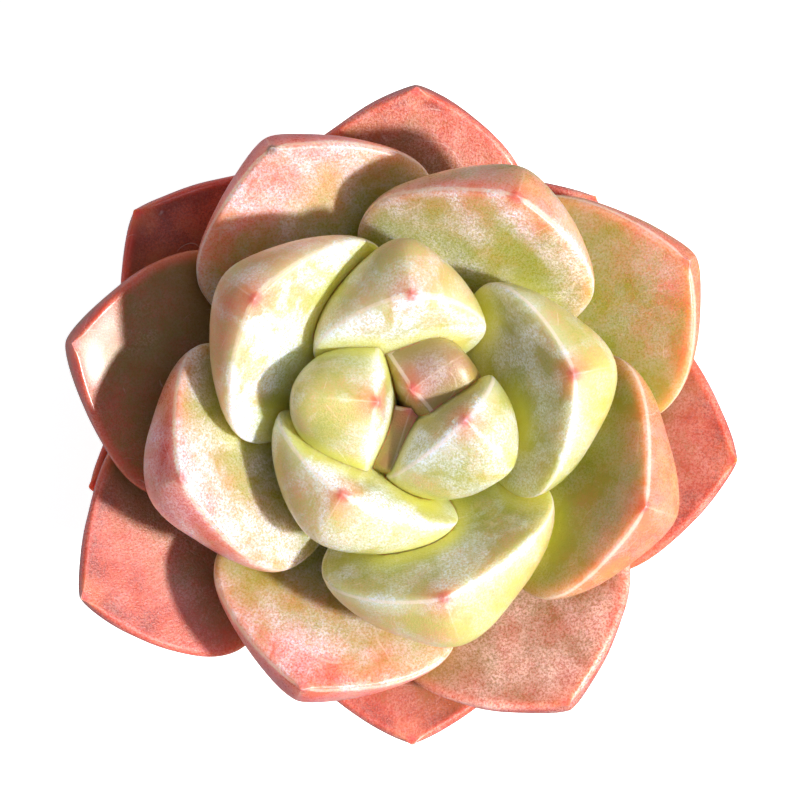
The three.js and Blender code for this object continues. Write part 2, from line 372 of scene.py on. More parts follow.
# The stem: a short thick succulent stem, rooted in the mix, green under a corky skin.
# Every leaf that has dropped from it has left an oval scar, in the same spiral as the
# leaves that it still carries above.
STEM_TOP = 0.074
STEM_RADIUS = 0.0056
DOME_HEIGHT = 0.009
STEM_START = 0.0283
STEM_STEPS_ROUND = 96
STEM_ROW = 0.0006
DOME_ROWS = 16
SCAR_COUNT = 18
LOWEST_SCAR = 0.0492
SCAR_RISE = 0.0007
SCAR_TURN = math.radians(137.5)
SCAR_WIDTH = 0.0022
SCAR_TALL = 0.0008
SCAR_DEPTH = 0.00028
SCAR_LIP = 0.5
SCAR_LIP_AT = 1.25
SCAR_LIP_BREADTH = 0.3
HIGHEST_LIP = 0.4
CORK_WAVE = 0.004
CORK_HEIGHT = 0.00012
CORK_WORN_TO = 0.5


def stem_radius(drop):
    """The stem's radius at a distance below its top, which is a dome."""
    rise = max(0.0, 1 - drop / DOME_HEIGHT)
    return STEM_RADIUS * math.sqrt(max(0.0, 1 - rise ** 2))


scars = [(SCAR_TURN * i, LOWEST_SCAR + SCAR_RISE * i) for i in range(SCAR_COUNT)]


def scar_depth(angle, height):
    """How deep a leaf scar is here, in shares of SCAR_DEPTH: oval, with a raised lip."""
    depth = 0.0
    for scar_angle, scar_height in scars:
        around = (angle - scar_angle + math.pi) % math.tau - math.pi
        flat = around * STEM_RADIUS / SCAR_WIDTH
        up = (height - scar_height) / SCAR_TALL
        away = math.hypot(flat, up)
        lip = math.exp(-((away - SCAR_LIP_AT) / SCAR_LIP_BREADTH) ** 2)
        depth += math.exp(-away ** 4) - SCAR_LIP * lip
    return depth


straight_rows = int((STEM_TOP - DOME_HEIGHT - STEM_START) / STEM_ROW)
stem_heights = [STEM_START + i * STEM_ROW for i in range(straight_rows)]
for i in range(DOME_ROWS):
    climbed = math.sin(i / DOME_ROWS * math.pi / 2)
    stem_heights.append(STEM_TOP - DOME_HEIGHT * (1 - climbed))
stem_points = []
for height in stem_heights:
    for j in range(STEM_STEPS_ROUND):
        angle = j / STEM_STEPS_ROUND * math.tau
        radius = stem_radius(STEM_TOP - height)
        cork = noise.noise(Vector((math.cos(angle), math.sin(angle), height / CORK_WAVE)))
        depth = max(-HIGHEST_LIP, scar_depth(angle, height))
        radius -= SCAR_DEPTH * depth * (radius / STEM_RADIUS)
        radius += CORK_HEIGHT * min(CORK_WORN_TO, cork)
        stem_points.append((radius * math.cos(angle), radius * math.sin(angle), height))
stem_faces = []
for i in range(len(stem_heights) - 1):
    for j in range(STEM_STEPS_ROUND):
        row = i * STEM_STEPS_ROUND
        beside = (j + 1) % STEM_STEPS_ROUND
        above = row + STEM_STEPS_ROUND
        stem_faces.append((row + j, row + beside, above + beside, above + j))
foot_centre = len(stem_points)
top_centre = foot_centre + 1
stem_points += [(0, 0, STEM_START), (0, 0, STEM_TOP)]
last_row = (len(stem_heights) - 1) * STEM_STEPS_ROUND
for j in range(STEM_STEPS_ROUND):
    beside = (j + 1) % STEM_STEPS_ROUND
    stem_faces.append((beside, j, foot_centre))
    stem_faces.append((last_row + j, last_row + beside, top_centre))
stem_mesh = bpy.data.meshes.new("scarred_stem")
stem_mesh.from_pydata(stem_points, [], stem_faces)
stem_mesh.update()
stem_mesh.shade_smooth()

# Young cork: matt, tan to grey-brown, cracked along the stem, green showing through
# higher up where the skin is still soft.
CORK_PATCH = 0.003
CORK_CRACK = 0.0005
CORK_ENDS_AT = 0.054
GREEN_FROM = 0.064
cork_skin, tree = new_material("young_cork_over_green_skin")
place = add_node(tree, "ShaderNodeTexCoord", {}).outputs["Object"]
patches = add_node(tree, "ShaderNodeTexNoise", {
    "Vector": place, "Scale": 1 / CORK_PATCH, "Detail": 6.0, "Roughness": 0.65})
cork = add_node(tree, "ShaderNodeMix", {
    "data_type": "RGBA", 0: patches.outputs[0], 6: colour("#6E5138"), 7: colour("#B79B72")})
height = add_node(tree, "ShaderNodeSeparateXYZ", {0: place}).outputs[2]
green_share = add_node(tree, "ShaderNodeMapRange", {
    "Value": height, "From Min": CORK_ENDS_AT, "From Max": GREEN_FROM})
green = add_node(tree, "ShaderNodeMix", {
    "data_type": "RGBA", 0: green_share.outputs[0], 6: cork.outputs[2], 7: colour("#8FA050")})
along_stem = add_node(tree, "ShaderNodeMapping", {"Vector": place, "Scale": (1, 1, 0.25)})
cracks = add_node(tree, "ShaderNodeTexNoise", {
    "Vector": along_stem.outputs[0], "Scale": 1 / CORK_CRACK, "Detail": 4.0})
crack_bump = add_node(tree, "ShaderNodeBump", {
    "Height": cracks.outputs[0], "Strength": 0.6, "Distance": 0.0002})
cork_shader = add_node(tree, "ShaderNodeBsdfPrincipled", {
    "Base Color": green.outputs[2], "Roughness": 0.8, "IOR": 1.45,
    "Normal": crack_bump.outputs[0]})
add_node(tree, "ShaderNodeOutputMaterial", {"Surface": cork_shader.outputs[0]})

placed("scarred_stem", stem_mesh, cork_skin, ["stem"])


# The bud: the nine youngest leaves, packed in the rosette's heart. They are thick, juicy
# flesh in a waxy skin, pale yellow green and dusted with white wax. They have grown pressed
# to each other and to the stem, so each is cut to fit the ones before it, a hair apart.
LEAF_GAP = 0.0001
ROOT_SINK = 0.001
LEAST_ROOT_RADIUS = 0.0003
# The outline, in shares of a leaf's length and greatest width. Steep leaves stay broader
# towards the tip than level ones.
WIDEST_AT = 0.62
ROOT_WIDTH = 0.24
SHOULDER_POWER = 1.35
TIP_POWER = 0.9
LEVEL_OUTLINE = 1.65
STEEP_OUTLINE = 2.15
STEEP_LIFT = 45
# The section: full at the root, keeled below towards the tip, swollen above.
ROOT_THICKNESS = 0.38
THICKEST_AT = 0.8
END_CAP = 0.13
ROUND_SECTION = 2.2
KEELED_SECTION = 1.5
NO_KEEL_LIFT = 60
SWELL_POWER = 0.7
LEVEL_MARGIN = 0.0009
STEEP_MARGIN = 0.00035
MARGIN_SHARE = 0.4
NEAR_NOTHING = 1e-9
MUCRO_LENGTH = 0.0003
MUCRO_WIDTH = 0.0007
SKIN_WAVE = 0.006
SKIN_WAVE_HEIGHT = 0.00018
BODY_ROWS = 64
CAP_ROWS = 14
FACE_STEPS = 28
FACET_ANGLE = math.radians(38)
# Where the sun has reached the skin: not the root, more at the rim and on the back.
SHADED_ROOT = 0.38
RIM_FLUSH = 0.25
RIM_FLUSH_REACH = 0.003
BACK_FLUSH = 0.2
DRIED_TIP = 13

# A leaf's turn round the stem, its root's drop below the stem's top, its own sizes and its lift and
# curl are as in the CAD part, in degrees and millimetres. Swell raises the upper face, cup raises its
# rims, side bends the tip sideways, and lop widens one half by a share. Blush and bloom, from 0 to 1,
# say how red and how white the skin is: the white is its dust of wax plus a painted sheen, more on
# the leaves that the main lamp lights and less on those in shade.
LEAF_COLUMNS = "number turn drop length width thick lift curl swell side lop cup blush bloom"
LEAF_LENGTHS = ("drop", "length", "width", "thick", "swell", "side", "cup")
Leaf = namedtuple("Leaf", LEAF_COLUMNS)


def in_metres(leaf):
    """The same leaf with its lengths in metres."""
    return leaf._replace(**{name: getattr(leaf, name) / 1000 for name in LEAF_LENGTHS})


def partway(start, end, share):
    """The value that lies a share of the way from start to end."""
    return start + (end - start) * share


def limited(value):
    """The value, kept between 0 and 1."""
    return min(1.0, max(0.0, value))


def width_share(along, lift):
    """Leaf width at a share of its length, in shares of its greatest width."""
    if along < WIDEST_AT:
        grown = math.sin(along / WIDEST_AT * math.pi / 2) ** SHOULDER_POWER
        return partway(ROOT_WIDTH, 1, grown)
    outline = partway(LEVEL_OUTLINE, STEEP_OUTLINE, limited(lift / STEEP_LIFT))
    to_tip = (along - WIDEST_AT) / (1 - WIDEST_AT)
    return max(0.0, 1 - to_tip ** outline) ** TIP_POWER


def thickness_share(along):
    """Leaf thickness at a share of its length, in shares of its greatest thickness."""
    grown = math.sin(min(along / THICKEST_AT, 1) * math.pi / 2)
    into_cap = max(0.0, along - (1 - END_CAP)) / END_CAP
    return partway(ROOT_THICKNESS, 1, grown) * math.sqrt(max(0.0, 1 - into_cap ** 2))


def leaf_ring(along, leaf):
    """One ring of skin round the leaf, upper face first and then the back, with its facts."""
    bend = math.radians(leaf.curl) * along
    arc = leaf.length * along
    chord = arc * math.sin(bend / 2) / (bend / 2) if bend else arc
    slope = math.radians(leaf.lift) + bend / 2
    lean = math.radians(leaf.lift) + bend
    half_width = leaf.width / 2 * width_share(along, leaf.lift)
    depth = leaf.thick * thickness_share(along)
    keel = along * limited(1 - leaf.lift / NO_KEEL_LIFT)
    section = partway(ROUND_SECTION, KEELED_SECTION, keel)
    bulge = leaf.swell * max(0.0, math.sin(math.pi * along)) ** SWELL_POWER
    margin = partway(LEVEL_MARGIN, STEEP_MARGIN, limited(leaf.lift / STEEP_LIFT))
    rounding = min(margin, MARGIN_SHARE * depth, MARGIN_SHARE * half_width)

    # Across runs from 1 at one rim to -1 at the other and back, or is the tip's one point.
    step = np.arange(2 * FACE_STEPS if along < 1 else 1)
    across = np.cos(step / FACE_STEPS * math.pi) if along < 1 else np.zeros(1)
    reach = np.abs(across)
    is_back = step > FACE_STEPS
    past_flat = reach * half_width - (half_width - rounding)
    edge = np.clip(past_flat / max(rounding, NEAR_NOTHING), 0, 1)
    upper = bulge * (1 - across ** 2) - rounding * (1 - np.sqrt(1 - edge ** 2))
    fullness = np.sqrt(np.clip(1 - reach ** section, 0, 1))
    under = -(rounding + (depth - rounding) * fullness)
    height = np.where(is_back, under, upper)
    height[reach > 1 - NEAR_NOTHING] = -rounding
    height = height + leaf.cup * (across * width_share(along, leaf.lift)) ** 2

    root = max(LEAST_ROOT_RADIUS, stem_radius(leaf.drop) - ROOT_SINK)
    x = root + chord * math.cos(slope) - height * math.sin(lean)
    y = half_width * across * (1 + leaf.lop * np.sign(across)) + leaf.side * along ** 2
    z = STEM_TOP - leaf.drop + chord * math.sin(slope) + height * math.cos(lean)
    return {
        "point": np.stack([x, y, z], 1),
        "along": np.full(len(step), along),
        "inner": 1.0 - is_back,
        "to_rim": np.hypot((1 - reach) * half_width, (under + rounding) * is_back),
        "to_keel": reach * half_width,
    }


def vertex_rows(mesh, key):
    """The points or the normals of a mesh, one row for each."""
    values = np.empty(len(mesh.vertices) * 3)
    mesh.vertices.foreach_get(key, values)
    return values.reshape(-1, 3)


def keep_fact(mesh, fact, values):
    """Keeps one number for each point of the skin, for the material to read."""
    attribute = mesh.attributes.new(fact, "FLOAT", "POINT")
    attribute.data.foreach_set("value", values.astype(np.float32))


def leaf_mesh(name, leaf):
    """A whole leaf with its root, round margin and sharp little tip, before it is fitted."""
    rows = [(1 - END_CAP) * i / BODY_ROWS for i in range(BODY_ROWS)]
    for i in range(CAP_ROWS + 1):
        rows.append(1 - END_CAP + END_CAP * math.sin(i / CAP_ROWS * math.pi / 2))
    rings = [leaf_ring(along, leaf) for along in rows]
    skin = {fact: np.concatenate([ring[fact] for ring in rings]) for fact in rings[0]}
    points = skin["point"]
    to_tip = np.linalg.norm(points - points[-1], axis=1)
    lean = math.radians(leaf.lift + leaf.curl)
    ahead = np.array([math.cos(lean), 0, math.sin(lean)])
    points += ahead * (MUCRO_LENGTH * np.exp(-(to_tip / MUCRO_WIDTH) ** 2))[:, None]
    cos_turn = math.cos(math.radians(leaf.turn))
    sin_turn = math.sin(math.radians(leaf.turn))
    points = points @ np.array([[cos_turn, sin_turn, 0], [-sin_turn, cos_turn, 0], [0, 0, 1]])

    ring_size = 2 * FACE_STEPS
    faces = []
    for i in range(len(rows) - 2):
        for j in range(ring_size):
            row = i * ring_size
            above = row + ring_size
            beside = (j + 1) % ring_size
            faces.append((row + j, row + beside, above + beside, above + j))
    last = (len(rows) - 2) * ring_size
    faces += [(last + j, last + (j + 1) % ring_size, last + ring_size) for j in range(ring_size)]
    faces.append(tuple(reversed(range(ring_size))))
    mesh = bpy.data.meshes.new(name)
    mesh.from_pydata(points.tolist(), [], faces)
    mesh.update()
    wave = np.array([noise.noise(Vector(point) / SKIN_WAVE) for point in points])
    points += vertex_rows(mesh, "normal") * (SKIN_WAVE_HEIGHT * wave)[:, None]
    mesh.vertices.foreach_set("co", points.ravel())

    sunned = np.clip((skin["along"] - SHADED_ROOT) / (1 - SHADED_ROOT), 0, 1)
    sunned += RIM_FLUSH * np.exp(-skin["to_rim"] / RIM_FLUSH_REACH)
    sunned += BACK_FLUSH * (1 - skin["inner"])
    keep_fact(mesh, "along", skin["along"])
    keep_fact(mesh, "to_rim", skin["to_rim"] * 1000)
    keep_fact(mesh, "to_keel", skin["to_keel"] * 1000)
    keep_fact(mesh, "to_tip", to_tip * 1000)
    keep_fact(mesh, "sunned", np.clip(leaf.blush * sunned, 0, 1))
    keep_fact(mesh, "bloom", np.full(len(points), leaf.bloom))
    keep_fact(mesh, "inner", skin["inner"])
    keep_fact(mesh, "dried", np.full(len(points), float(leaf.number == DRIED_TIP)))
    mesh.shade_smooth()
    mesh.update()
    return mesh


def grown_by_gap(mesh):
    """A skin moved out by the gap, to cut the room that a piece needs."""
    grown = mesh.copy()
    grown.materials.clear()
    points = vertex_rows(mesh, "co") + vertex_rows(mesh, "normal") * LEAF_GAP
    grown.vertices.foreach_set("co", points.ravel())
    grown.update()
    return grown


rooms = [bpy.data.objects.new("stem_room", grown_by_gap(stem_mesh))]
leaves_in_place = []


def grow_leaf(leaf, material):
    """Makes one leaf, cuts it to fit the stem and the leaves so far, and sets it in place."""
    name = f"leaf_{leaf.number:02d}"
    mesh = leaf_mesh(name + "_skin", in_metres(leaf))
    uncut = bpy.data.objects.new(name + "_uncut", mesh)
    bpy.context.scene.collection.objects.link(uncut)
    for room in rooms:
        cut = uncut.modifiers.new("fit", "BOOLEAN")
        cut.operation = "DIFFERENCE"
        cut.solver = "MANIFOLD"
        cut.object = room
    depsgraph = bpy.context.evaluated_depsgraph_get()
    fitted = bpy.data.meshes.new_from_object(uncut.evaluated_get(depsgraph))
    fitted.name = name
    fitted.materials.clear()
    rooms.append(bpy.data.objects.new(name + "_room", grown_by_gap(mesh)))
    bpy.data.objects.remove(uncut)
    bpy.data.meshes.remove(mesh)
    fitted.set_sharp_from_angle(angle=FACET_ANGLE)
    leaves_in_place.append(placed(name + "_skin", fitted, material, [name]))


# Leaf skin: clear flesh that light goes deep into, under a thin clear skin and a dust of
# wax. Patterns are as fine as the real ones, but for the skin's cells and wax grains:
# those are about 0.1 mm, too fine for the picture, so they are drawn twice as coarse.
SKIN_CELL = 0.00022
WAX_GRAIN = 0.00028
RUBBED_PATCH = 0.0055
FLUSH_CLOUD = 0.0045
SCRATCH_CURVE = 0.009
# A streak's width is in millimetres, as the distances kept with the mesh are.
STREAK_WIDTH = 0.9
KEEL_SHARE = 0.45


def waxy_skin(name, flesh, flushed, rim_tint, rim_strength, wax_and_sheen_tint, line, soft, cover, gloss,
              coat_blur, glow_depth):
    """Waxy succulent skin, from clear flesh at the root to flushed skin in the sun.

    flesh is its tint in no sun, in a little, under a neighbour, where the darker tint is
    painted shade, and in a crevice, where the brighter tint is a painted glow; flushed its
    three tints from more sun to full sun. rim_strength is how much of the rim's tint shows.
    line is the strength of the clear hairlines on margin and keel, soft how gently a wax
    patch fades, and cover how far a neighbour's painted shade reaches, in millimetres.
    gloss and coat_blur are the roughness of skin and wax, and glow_depth is how deep light
    goes into the flesh, in metres.
    """
    material, tree = new_material(name)
    place = add_node(tree, "ShaderNodeTexCoord", {}).outputs["Object"]
    along = add_node(tree, "ShaderNodeAttribute", {"attribute_name": "along"}).outputs["Fac"]
    rim = add_node(tree, "ShaderNodeAttribute", {"attribute_name": "to_rim"}).outputs["Fac"]
    tip = add_node(tree, "ShaderNodeAttribute", {"attribute_name": "to_tip"}).outputs["Fac"]
    sunned = add_node(tree, "ShaderNodeAttribute", {"attribute_name": "sunned"}).outputs["Fac"]
    bloom = add_node(tree, "ShaderNodeAttribute", {"attribute_name": "bloom"}).outputs["Fac"]
    keel = add_node(tree, "ShaderNodeAttribute", {"attribute_name": "to_keel"}).outputs["Fac"]
    # Flush: clouds of red in the skin, stronger where the sun reaches.
    clouds = add_node(tree, "ShaderNodeTexNoise", {
        "Vector": place, "Scale": 1 / FLUSH_CLOUD, "Detail": 5.0, "Roughness": 0.62})
    cloud_shift = add_node(tree, "ShaderNodeMapRange", {
        "Value": clouds.outputs[0], "From Min": 0.3, "From Max": 0.7, "To Min": -0.2, "To Max": 0.2})
    cells = add_node(tree, "ShaderNodeTexNoise", {
        "Vector": place, "Scale": 1 / SKIN_CELL, "Detail": 2.0, "Roughness": 0.7})
    cell_shift = add_node(tree, "ShaderNodeMapRange", {
        "Value": cells.outputs[0], "From Min": 0.3, "From Max": 0.7, "To Min": -0.16, "To Max": 0.16})
    shift = add_node(tree, "ShaderNodeMath", {
        "operation": "ADD", 0: cloud_shift.outputs[0], 1: cell_shift.outputs[0]})
    flush = add_node(tree, "ShaderNodeMath", {
        "operation": "ADD", 0: sunned, 1: shift.outputs[0], "use_clamp": True})
    ramp = add_node(tree, "ShaderNodeValToRGB", {"Fac": flush.outputs[0]})
    stops = ramp.color_ramp.elements
    shades = [flesh[0], flesh[1], *flushed]
    places = [0.0, 0.22, 0.45, 0.7, 0.95]
    while len(stops) < len(shades):
        stops.new(0.5)
    for stop, shade, at in zip(stops, shades, places):
        stop.position = at
        stop.color = colour(shade)
    # Cover: where an earlier leaf lies over it, the skin keeps its unflushed tint, and that tint is
    # darker: painted shade under the leaf above.
    cover_shade_distance = add_node(tree, "ShaderNodeAttribute", {"attribute_name": "cover_shade_distance"}).outputs["Fac"]
    cover_shade_edge = add_node(tree, "ShaderNodeMath", {
        "operation": "MULTIPLY_ADD", 0: clouds.outputs[0], 1: 4.0, 2: cover_shade_distance})
    cover_shade_share = add_node(tree, "ShaderNodeMapRange", {
        "Value": cover_shade_edge.outputs[0], "From Min": cover + 2, "From Max": 2.6, "To Max": 0.9})
    cover_shaded = add_node(tree, "ShaderNodeMix", {
        "data_type": "RGBA", 0: cover_shade_share.outputs[0], 6: ramp.outputs[0], 7: colour(flesh[2])})
    # Crevice: near another leaf the skin is painted a bright yellow green, a painted glow for light
    # shining through the flesh and bouncing between leaves; leaves with little bloom get less of it.
    crevice = add_node(tree, "ShaderNodeAttribute", {"attribute_name": "crevice"}).outputs["Fac"]
    crevice_glow_share = add_node(tree, "ShaderNodeMapRange", {
        "interpolation_type": "SMOOTHSTEP", "Value": crevice, "From Min": 2.6, "From Max": 0.1,
        "To Max": 0.8})
    glow_by_bloom = add_node(tree, "ShaderNodeMapRange", {"Value": bloom, "From Max": 0.3})
    painted_glow_share = add_node(tree, "ShaderNodeMath", {
        "operation": "MULTIPLY", 0: crevice_glow_share.outputs[0], 1: glow_by_bloom.outputs[0]})
    # Rim: the thick round edge takes its own tint.
    rim_share = add_node(tree, "ShaderNodeMapRange", {
        "interpolation_type": "SMOOTHSTEP", "Value": rim, "From Min": 2.2, "From Max": 0.2,
        "To Max": rim_strength})
    outwards = add_node(tree, "ShaderNodeMapRange", {
        "Value": along, "From Min": 0.45, "From Max": 0.85})
    rim_reach = add_node(tree, "ShaderNodeMath", {
        "operation": "MULTIPLY", 0: rim_share.outputs[0], 1: outwards.outputs[0]})
    rimmed = add_node(tree, "ShaderNodeMix", {
        "data_type": "RGBA", 0: rim_reach.outputs[0], 6: cover_shaded.outputs[2], 7: colour(rim_tint)})
    # Halo: the flesh round the tip is an uneven orange.
    ragged = add_node(tree, "ShaderNodeMath", {
        "operation": "MULTIPLY_ADD", 0: clouds.outputs[0], 1: 5.0, 2: tip})
    halo_share = add_node(tree, "ShaderNodeMapRange", {
        "interpolation_type": "SMOOTHSTEP", "Value": ragged.outputs[0], "From Min": 6.4,
        "From Max": 3.2, "To Max": 0.6})
    haloed = add_node(tree, "ShaderNodeMix", {
        "data_type": "RGBA", 0: halo_share.outputs[0], 6: rimmed.outputs[2], 7: colour("#E2764F")})
    # Streaks: the skin is drawn into faint ridges that run along the leaf.
    lengthwise = add_node(tree, "ShaderNodeCombineXYZ", {
        "X": keel, "Y": along, "Z": clouds.outputs[0]})
    streaks = add_node(tree, "ShaderNodeTexNoise", {
        "Vector": lengthwise.outputs[0], "Scale": 1 / STREAK_WIDTH, "Detail": 4.0,
        "Roughness": 0.6})
    streak_share = add_node(tree, "ShaderNodeMapRange", {
        "Value": streaks.outputs[0], "From Min": 0.35, "From Max": 0.65, "To Min": 0.85,
        "To Max": 1.15})
    # Wax bloom, partly painted sheen: fine bluish-white grains, rubbed off in places and kept best on
    # the upper face; where heavy they also paint the sheen of lit skin.
    grains = add_node(tree, "ShaderNodeTexNoise", {
        "Vector": place, "Scale": 1 / WAX_GRAIN, "Detail": 2.0, "Roughness": 0.8})
    rubbed = add_node(tree, "ShaderNodeTexNoise", {
        "Vector": place, "Scale": 1 / RUBBED_PATCH, "Detail": 4.0, "Roughness": 0.55,
        "Distortion": 0.6})
    wax_place = add_node(tree, "ShaderNodeMapRange", {
        "Value": rubbed.outputs[0], "From Min": 0.5 - soft, "From Max": 0.5 + soft,
        "To Min": 0.18})
    wax_grain = add_node(tree, "ShaderNodeMapRange", {
        "Value": grains.outputs[0], "From Min": 0.38, "From Max": 0.62, "To Min": 0.3,
        "To Max": 1.3})
    wax = add_node(tree, "ShaderNodeMath", {
        "operation": "MULTIPLY", 0: wax_place.outputs[0], 1: wax_grain.outputs[0]})
    past_root = add_node(tree, "ShaderNodeMapRange", {
        "Value": cover_shade_share.outputs[0], "To Min": 1.0, "To Max": 0.35})
    inner = add_node(tree, "ShaderNodeAttribute", {"attribute_name": "inner"}).outputs["Fac"]
    upper_wax_and_sheen = add_node(tree, "ShaderNodeMapRange", {
        "Value": inner, "To Min": 0.65, "To Max": 1.5})
    wax_kept = add_node(tree, "ShaderNodeMath", {
        "operation": "MULTIPLY", 0: past_root.outputs[0], 1: upper_wax_and_sheen.outputs[0]})
    wax_drawn = add_node(tree, "ShaderNodeMath", {
        "operation": "MULTIPLY", 0: streak_share.outputs[0], 1: wax_kept.outputs[0]})
    wax_left = add_node(tree, "ShaderNodeMath", {
        "operation": "MULTIPLY", 0: bloom, 1: wax_drawn.outputs[0]})
    wax_and_sheen_share = add_node(tree, "ShaderNodeMath", {
        "operation": "MULTIPLY", 0: wax.outputs[0], 1: wax_left.outputs[0], "use_clamp": True})
    waxed = add_node(tree, "ShaderNodeMix", {
        "data_type": "RGBA", 0: wax_and_sheen_share.outputs[0], 6: haloed.outputs[2], 7: colour(wax_and_sheen_tint)})
    # Mixes in the crevice tint: a painted glow.
    glow_painted = add_node(tree, "ShaderNodeMix", {
        "data_type": "RGBA", 0: painted_glow_share.outputs[0], 6: waxed.outputs[2], 7: colour(flesh[3])})
    # Margin: a hair-thin clear line where the two faces meet.
    line_share = add_node(tree, "ShaderNodeMapRange", {
        "interpolation_type": "SMOOTHSTEP", "Value": rim, "From Min": 0.19, "From Max": 0.07,
        "To Max": line})
    lined = add_node(tree, "ShaderNodeMix", {
        "data_type": "RGBA", 0: line_share.outputs[0], 6: glow_painted.outputs[2], 7: colour("#FBE3D6")})
    # Keel and scratches: faint pale hairlines, which show here and there.
    keel_share = add_node(tree, "ShaderNodeMapRange", {
        "Value": keel, "From Min": 0.15, "From Max": 0.04, "To Max": KEEL_SHARE * line})
    keel_reach = add_node(tree, "ShaderNodeMapRange", {
        "Value": tip, "From Min": 9.0, "From Max": 2.0})
    keel_line = add_node(tree, "ShaderNodeMath", {
        "operation": "MULTIPLY", 0: keel_share.outputs[0], 1: keel_reach.outputs[0]})
    drift = add_node(tree, "ShaderNodeTexNoise", {
        "Vector": place, "Scale": 1 / SCRATCH_CURVE, "Detail": 0.0, "Distortion": 0.4})
    off_line = add_node(tree, "ShaderNodeMath", {
        "operation": "SUBTRACT", 0: drift.outputs[0], 1: 0.5})
    beside_line = add_node(tree, "ShaderNodeMath", {
        "operation": "ABSOLUTE", 0: off_line.outputs[0]})
    scratch = add_node(tree, "ShaderNodeMapRange", {
        "Value": beside_line.outputs[0], "From Min": 0.006, "From Max": 0.002, "To Max": 0.3})
    scratched_patch = add_node(tree, "ShaderNodeMapRange", {
        "Value": clouds.outputs[0], "From Min": 0.5, "From Max": 0.6})
    scratch_line = add_node(tree, "ShaderNodeMath", {
        "operation": "MULTIPLY", 0: scratch.outputs[0], 1: scratched_patch.outputs[0]})
    hairline = add_node(tree, "ShaderNodeMath", {
        "operation": "MAXIMUM", 0: keel_line.outputs[0], 1: scratch_line.outputs[0]})
    hairlined = add_node(tree, "ShaderNodeMix", {
        "data_type": "RGBA", 0: hairline.outputs[0], 6: lined.outputs[2], 7: colour("#FBE9DE")})
    # Point: the tip of the mucro is red, or nearly black where it has dried up.
    dried = add_node(tree, "ShaderNodeAttribute", {"attribute_name": "dried"}).outputs["Fac"]
    point_colour = add_node(tree, "ShaderNodeMix", {
        "data_type": "RGBA", 0: dried, 6: colour("#DE5058"), 7: colour("#200A04")})
    point_share = add_node(tree, "ShaderNodeMapRange", {
        "interpolation_type": "SMOOTHSTEP", "Value": tip, "From Min": 1.3, "From Max": 0.3,
        "To Max": 0.7})
    pointed = add_node(tree, "ShaderNodeMix", {
        "data_type": "RGBA", 0: point_share.outputs[0], 6: hairlined.outputs[2],
        7: point_colour.outputs[2]})
    # Relief and gloss: faint ridges and cells, and duller where the wax lies.
    streak_bump = add_node(tree, "ShaderNodeBump", {
        "Height": streaks.outputs[0], "Strength": 0.3, "Distance": 0.0004})
    cell_bump = add_node(tree, "ShaderNodeBump", {
        "Height": cells.outputs[0], "Strength": 0.8, "Distance": 0.00015,
        "Normal": streak_bump.outputs[0]})
    dull_share = add_node(tree, "ShaderNodeMapRange", {
        "Value": wax_and_sheen_share.outputs[0], "To Min": gloss, "To Max": gloss + 0.2})
    skin = add_node(tree, "ShaderNodeBsdfPrincipled", {
        "Base Color": pointed.outputs[2], "Roughness": dull_share.outputs[0], "IOR": 1.45,
        "Normal": cell_bump.outputs[0], "Subsurface Weight": 0.7,
        "Subsurface Radius": (1.0, 0.75, 0.25), "Subsurface Scale": glow_depth,
        "Coat Weight": 0.8, "Coat Roughness": coat_blur, "Coat IOR": 1.5})
    add_node(tree, "ShaderNodeOutputMaterial", {"Surface": skin.outputs[0]})
    return material


# In each skin's flesh, the third tint is painted shade under a neighbour and the fourth a painted
# glow in crevices.
bud_skin = waxy_skin(
    "waxed_pale_green_leaf_skin",
    flesh=["#AEAE40", "#C4B860", "#AAB028", "#E2DC66"],
    flushed=["#D4A866", "#E08E5C", "#D8604A"],
    rim_tint="#E0E0B8", rim_strength=0.35, wax_and_sheen_tint="#EEF4FF", line=0.5, soft=0.07,
    cover=3.0, gloss=0.28, coat_blur=0.38, glow_depth=0.007)
# The two youngest stand in the bud's shade: their skin is a darker bronze copy of the bud's, painted
# shade.
heart_skin_painted_shade = waxy_skin(
    "heart_leaf_skin_painted_shade",
    flesh=["#A48C44", "#AC8A54", "#98823A", "#A88E48"],
    flushed=["#AC7E5A", "#AC6A52", "#A45A4A"],
    rim_tint="#B8A088", rim_strength=0.35, wax_and_sheen_tint="#E8E6F4", line=0.5, soft=0.07,
    cover=3.0, gloss=0.28, coat_blur=0.38, glow_depth=0.004)
HEART_LEAVES = (1, 2)

# In the order in which they are fitted: the ones that keep their whole form come first.
bud_leaves = [
    (4, 315, 1.3, 19.0, 16.5, 8.2, 76, 10, 3.0, 4.2, 0, 0.8, 0.15, 0.80),
    (5, 97, 1.9, 22.5, 19.8, 8.0, 47, 28, 3.6, -2.2, 0.07, 2.2, 0.26, 0.65),
    (6, 238, 2.5, 20.2, 24.0, 7.2, 49, 32, 2.4, -1.4, 0, 2.2, 0.22, 0.75),
    (3, 175, 0.8, 17.6, 15.0, 9.4, 62, 42, 2.6, -1.2, 0, 0.3, 0.15, 0.60),
    (2, 37, 0.4, 13.8, 19.0, 6.8, 57, 54, 3.0, 2.0, 0, 0.5, 0.32, 0.45),
    (1, 252, 0.0, 10.2, 14.0, 7.5, 80, 32, 0.8, 0.2, 0, 0, 0.80, 0.05),
    (7, 12, 3.1, 26.5, 25.0, 7.6, 40, 26, 1.8, 0.6, 0, 2.8, 0.18, 0.45),
    (8, 145, 3.8, 28.5, 27.0, 7.2, 38, 26, 1.6, -0.9, 0, 2.4, 0.42, 0.70),
    (9, 287.5, 4.5, 27.0, 28.0, 8.9, 38, 26, 1.4, -2.2, 0, 1.6, 0.24, 0.45),
]
for row in bud_leaves:
    leaf = Leaf(*row)
    skin = heart_skin_painted_shade if leaf.number in HEART_LEAVES else bud_skin
    grow_leaf(leaf, skin)


